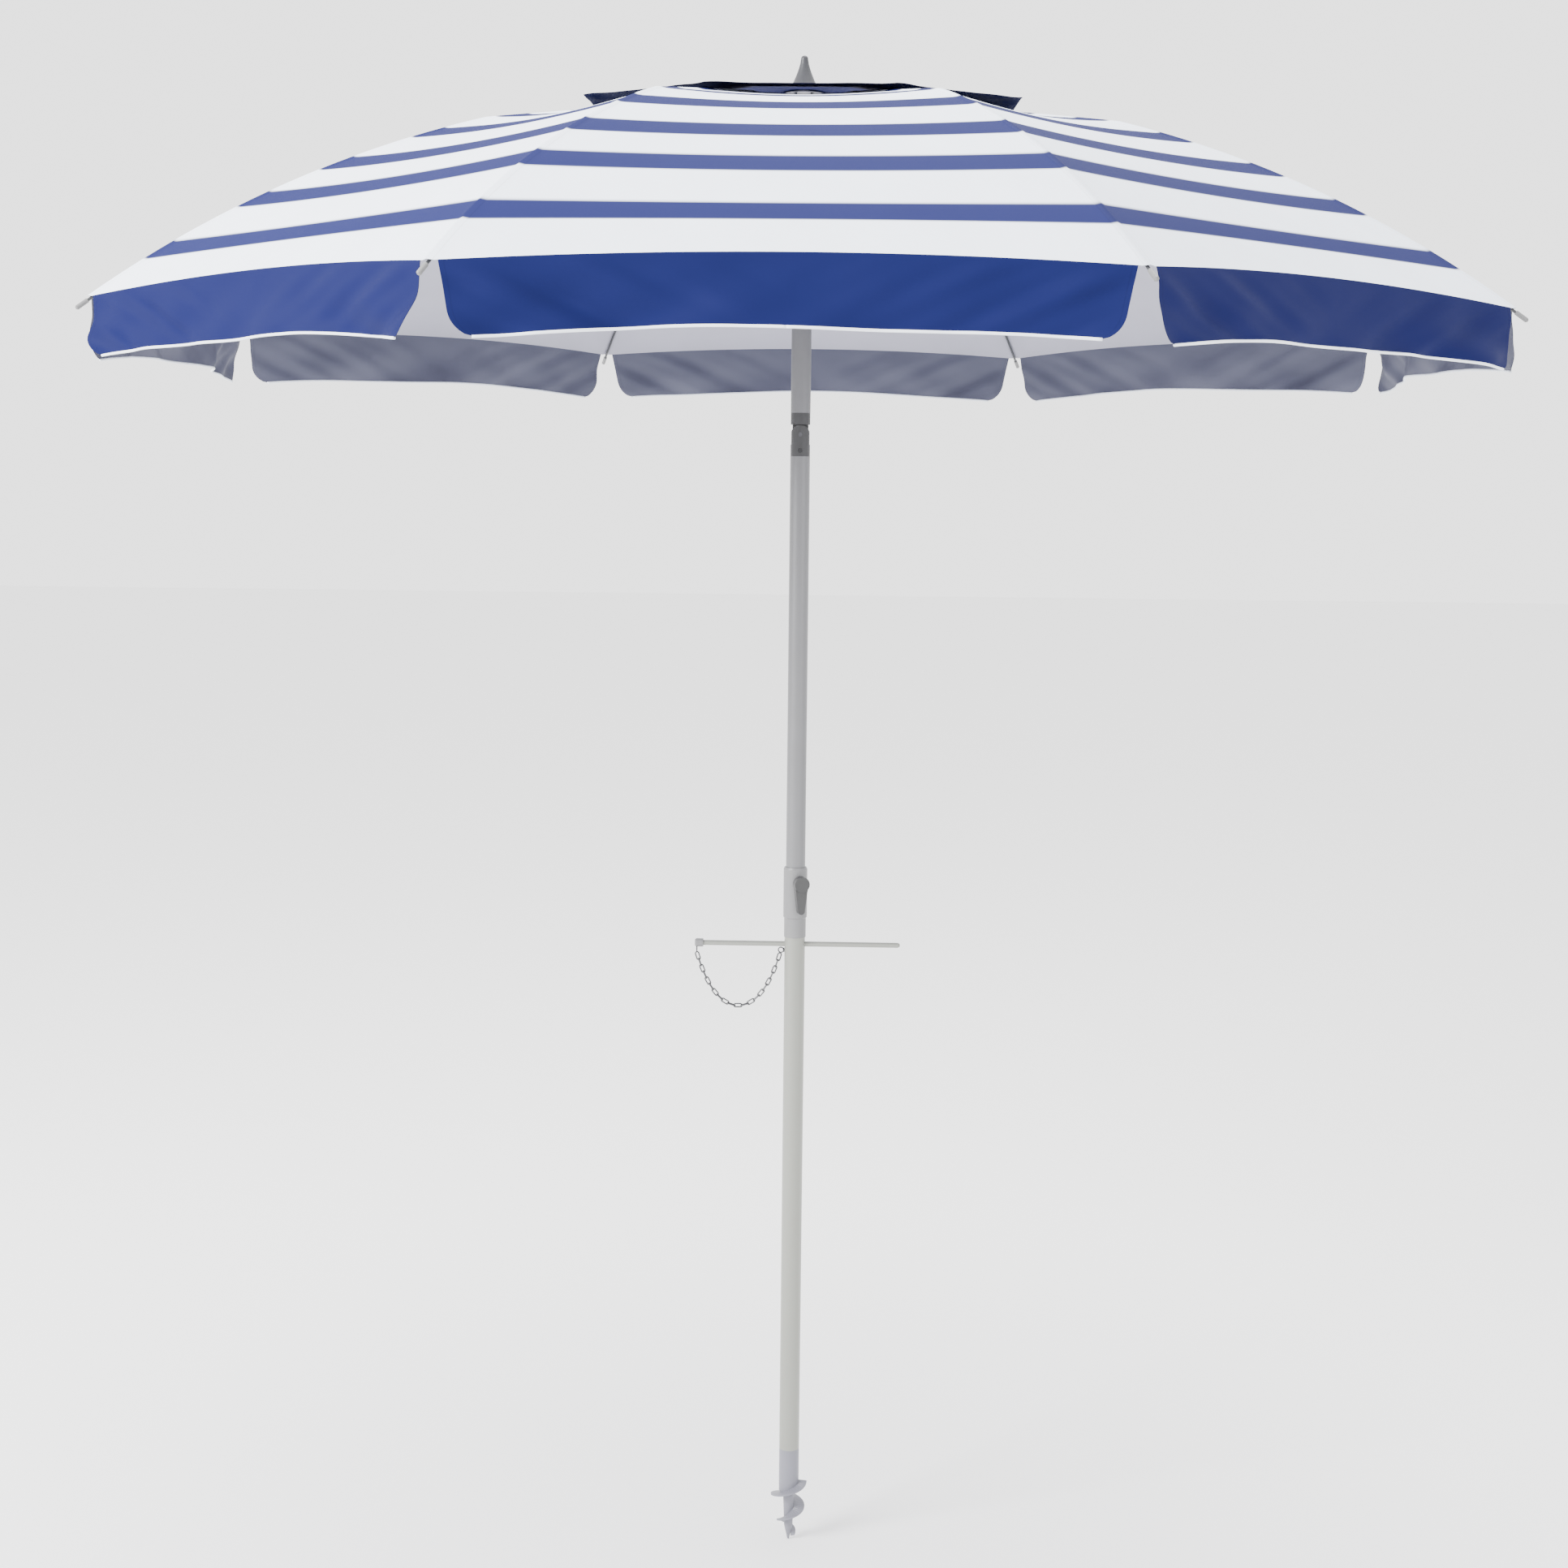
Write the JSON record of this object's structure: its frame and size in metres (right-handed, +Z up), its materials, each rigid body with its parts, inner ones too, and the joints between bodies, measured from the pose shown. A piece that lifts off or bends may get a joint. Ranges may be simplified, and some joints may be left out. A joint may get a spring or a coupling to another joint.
{
  "type": "beach umbrella",
  "caption": "Vented octagonal beach umbrella with valance flaps, push-button tilt, clamp collar, crossbar handle on a chain and a sand auger.",
  "frame": {"origin": "tip of the sand auger, on the pole's axis", "axes": "+Z up the pole; +X to the right as seen from the front, -Y towards the viewer; the crossbar lies along X and the tilt joint's pin along Y"},
  "size_m": [1.9348, 1.9348, 2.3228],
  "materials": {
    "auger_plastic": "smooth moulded",
    "lower_tube_paint": "satin powder coat",
    "upper_tube_paint": "satin powder coat",
    "collar_plastic": "smooth moulded",
    "grey_plastic": "smooth moulded",
    "white_plastic": "smooth moulded",
    "black_plastic": "smooth moulded",
    "steel": "zinc plated",
    "rib_paint": "satin",
    "finial_metal": "satin",
    "canopy_cloth": "coated woven polyester, white with blue bands, silver inside"
  },
  "bodies": {
    "ground_pole": {"auger": "auger_plastic", "lower_tube": "lower_tube_paint", "collar": "collar_plastic", "collar_screw": "steel", "chain_eyelet": "steel", "chain": "steel", "clamp_screw": "steel"},
    "clamp_knob": {"clamp_knob": "grey_plastic"},
    "crossbar": {"crossbar": "lower_tube_paint", "crossbar_cap": "collar_plastic", "crossbar_ring": "steel"},
    "upper_pole": {"middle_tube": "upper_tube_paint", "middle_plug": "black_plastic", "tilt_lower_knuckle": "grey_plastic", "tilt_pin": "steel", "tilt_spring": "steel"},
    "tilt_button": {"tilt_button": "black_plastic"},
    "canopy_mast": {"tilt_upper_knuckle": "grey_plastic", "mast_tube": "upper_tube_paint", "runner_catch": "steel", "hub": "white_plastic", "hub_pins": "steel", "hub_washer": "steel", "finial": "finial_metal", "finial_stud": "steel"},
    "runner": {"runner": "white_plastic", "runner_grip": "grey_plastic"},
    "rib_1": {"rib_1": "rib_paint", "rib_fittings_1": "collar_plastic", "canopy_1": "canopy_cloth"},
    "stretcher_1": {"stretcher_1": "rib_paint"},
    "rib_2": {"rib_2": "rib_paint", "rib_fittings_2": "collar_plastic", "canopy_2": "canopy_cloth"},
    "stretcher_2": {"stretcher_2": "rib_paint"},
    "rib_3": {"rib_3": "rib_paint", "rib_fittings_3": "collar_plastic", "canopy_3": "canopy_cloth"},
    "stretcher_3": {"stretcher_3": "rib_paint"},
    "rib_4": {"rib_4": "rib_paint", "rib_fittings_4": "collar_plastic", "canopy_4": "canopy_cloth"},
    "stretcher_4": {"stretcher_4": "rib_paint"},
    "rib_5": {"rib_5": "rib_paint", "rib_fittings_5": "collar_plastic", "canopy_5": "canopy_cloth"},
    "stretcher_5": {"stretcher_5": "rib_paint"},
    "rib_6": {"rib_6": "rib_paint", "rib_fittings_6": "collar_plastic", "canopy_6": "canopy_cloth"},
    "stretcher_6": {"stretcher_6": "rib_paint"},
    "rib_7": {"rib_7": "rib_paint", "rib_fittings_7": "collar_plastic", "canopy_7": "canopy_cloth"},
    "stretcher_7": {"stretcher_7": "rib_paint"},
    "rib_8": {"rib_8": "rib_paint", "rib_fittings_8": "collar_plastic", "canopy_8": "canopy_cloth"},
    "stretcher_8": {"stretcher_8": "rib_paint"}
  },
  "joints": [
    {"name": "clamp_knob_turn", "type": "hinge", "parent": "ground_pole", "child": "clamp_knob", "pos_m": [0, 0, 1.08], "axis": [0.342, -0.9397, 0], "range_deg": [0, 270]},
    {"name": "crossbar_slide", "type": "slide", "parent": "ground_pole", "child": "crossbar", "axis": [1, 0, 0], "range_m": [-0.09, 0.115], "deforming": ["chain"]},
    {"name": "height_slide", "type": "slide", "parent": "ground_pole", "child": "upper_pole", "axis": [0, 0, 1], "range_m": [0, 0.06]},
    {"name": "tilt_button_press", "type": "slide", "parent": "upper_pole", "child": "tilt_button", "axis": [0, 1, 0], "range_m": [0, 0.0025], "stiffness_N_per_m": 600, "springref_m": -0.003, "deforming": ["tilt_spring"]},
    {"name": "canopy_tilt", "type": "hinge", "parent": "upper_pole", "child": "canopy_mast", "pos_m": [0, 0, 1.767], "axis": [0, 1, 0], "range_deg": [-35, 0]},
    {"name": "canopy_fold", "type": "hinge", "parent": "canopy_mast", "child": "rib_1", "pos_m": [0.00957, -0.0231, 2.261], "axis": [0.9239, 0.3827, 0], "range_deg": [0, 66], "deforming": ["canopy_1", "runner_catch"]},
    {"name": "rib_2_fold", "type": "hinge", "parent": "canopy_mast", "child": "rib_2", "pos_m": [0.0231, -0.00957, 2.261], "axis": [0.3827, 0.9239, 0], "range_deg": [0, 66], "deforming": ["canopy_2"]},
    {"name": "rib_3_fold", "type": "hinge", "parent": "canopy_mast", "child": "rib_3", "pos_m": [0.0231, 0.00957, 2.261], "axis": [-0.3827, 0.9239, 0], "range_deg": [0, 66], "deforming": ["canopy_3"]},
    {"name": "rib_4_fold", "type": "hinge", "parent": "canopy_mast", "child": "rib_4", "pos_m": [0.00957, 0.0231, 2.261], "axis": [-0.9239, 0.3827, 0], "range_deg": [0, 66], "deforming": ["canopy_4"]},
    {"name": "rib_5_fold", "type": "hinge", "parent": "canopy_mast", "child": "rib_5", "pos_m": [-0.00957, 0.0231, 2.261], "axis": [-0.9239, -0.3827, 0], "range_deg": [0, 66], "deforming": ["canopy_5"]},
    {"name": "rib_6_fold", "type": "hinge", "parent": "canopy_mast", "child": "rib_6", "pos_m": [-0.0231, 0.00957, 2.261], "axis": [-0.3827, -0.9239, 0], "range_deg": [0, 66], "deforming": ["canopy_6"]},
    {"name": "rib_7_fold", "type": "hinge", "parent": "canopy_mast", "child": "rib_7", "pos_m": [-0.0231, -0.00957, 2.261], "axis": [0.3827, -0.9239, 0], "range_deg": [0, 66], "deforming": ["canopy_7"]},
    {"name": "rib_8_fold", "type": "hinge", "parent": "canopy_mast", "child": "rib_8", "pos_m": [-0.00957, -0.0231, 2.261], "axis": [0.9239, -0.3827, 0], "range_deg": [0, 66], "deforming": ["canopy_8"]},
    {"name": "runner_slide", "type": "slide", "parent": "canopy_mast", "child": "runner", "axis": [0, 0, 1], "range_m": [-0.716, 0]},
    {"name": "stretcher_1_pivot", "type": "hinge", "parent": "rib_1", "child": "stretcher_1", "pos_m": [0.19608, -0.47338, 2.17966], "axis": [0.9239, 0.3827, 0], "range_deg": [-121.6, 0]},
    {"name": "stretcher_2_pivot", "type": "hinge", "parent": "rib_2", "child": "stretcher_2", "pos_m": [0.47338, -0.19608, 2.17966], "axis": [0.3827, 0.9239, 0], "range_deg": [-121.6, 0]},
    {"name": "stretcher_3_pivot", "type": "hinge", "parent": "rib_3", "child": "stretcher_3", "pos_m": [0.47338, 0.19608, 2.17966], "axis": [-0.3827, 0.9239, 0], "range_deg": [-121.6, 0]},
    {"name": "stretcher_4_pivot", "type": "hinge", "parent": "rib_4", "child": "stretcher_4", "pos_m": [0.19608, 0.47338, 2.17966], "axis": [-0.9239, 0.3827, 0], "range_deg": [-121.6, 0]},
    {"name": "stretcher_5_pivot", "type": "hinge", "parent": "rib_5", "child": "stretcher_5", "pos_m": [-0.19608, 0.47338, 2.17966], "axis": [-0.9239, -0.3827, 0], "range_deg": [-121.6, 0]},
    {"name": "stretcher_6_pivot", "type": "hinge", "parent": "rib_6", "child": "stretcher_6", "pos_m": [-0.47338, 0.19608, 2.17966], "axis": [-0.3827, -0.9239, 0], "range_deg": [-121.6, 0]},
    {"name": "stretcher_7_pivot", "type": "hinge", "parent": "rib_7", "child": "stretcher_7", "pos_m": [-0.47338, -0.19608, 2.17966], "axis": [0.3827, -0.9239, 0], "range_deg": [-121.6, 0]},
    {"name": "stretcher_8_pivot", "type": "hinge", "parent": "rib_8", "child": "stretcher_8", "pos_m": [-0.19608, -0.47338, 2.17966], "axis": [0.9239, -0.3827, 0], "range_deg": [-121.6, 0]}
  ],
  "couplings": [
    {"joint": "runner_slide", "follows": "canopy_fold", "m_per_rad": -0.6212},
    {"joint": "rib_2_fold", "follows": "canopy_fold", "ratio": 1},
    {"joint": "rib_3_fold", "follows": "canopy_fold", "ratio": 1},
    {"joint": "rib_4_fold", "follows": "canopy_fold", "ratio": 1},
    {"joint": "rib_5_fold", "follows": "canopy_fold", "ratio": 1},
    {"joint": "rib_6_fold", "follows": "canopy_fold", "ratio": 1},
    {"joint": "rib_7_fold", "follows": "canopy_fold", "ratio": 1},
    {"joint": "rib_8_fold", "follows": "canopy_fold", "ratio": 1},
    {"joint": "stretcher_1_pivot", "follows": "canopy_fold", "ratio": -1.8416},
    {"joint": "stretcher_2_pivot", "follows": "canopy_fold", "ratio": -1.8416},
    {"joint": "stretcher_3_pivot", "follows": "canopy_fold", "ratio": -1.8416},
    {"joint": "stretcher_4_pivot", "follows": "canopy_fold", "ratio": -1.8416},
    {"joint": "stretcher_5_pivot", "follows": "canopy_fold", "ratio": -1.8416},
    {"joint": "stretcher_6_pivot", "follows": "canopy_fold", "ratio": -1.8416},
    {"joint": "stretcher_7_pivot", "follows": "canopy_fold", "ratio": -1.8416},
    {"joint": "stretcher_8_pivot", "follows": "canopy_fold", "ratio": -1.8416}
  ]
}
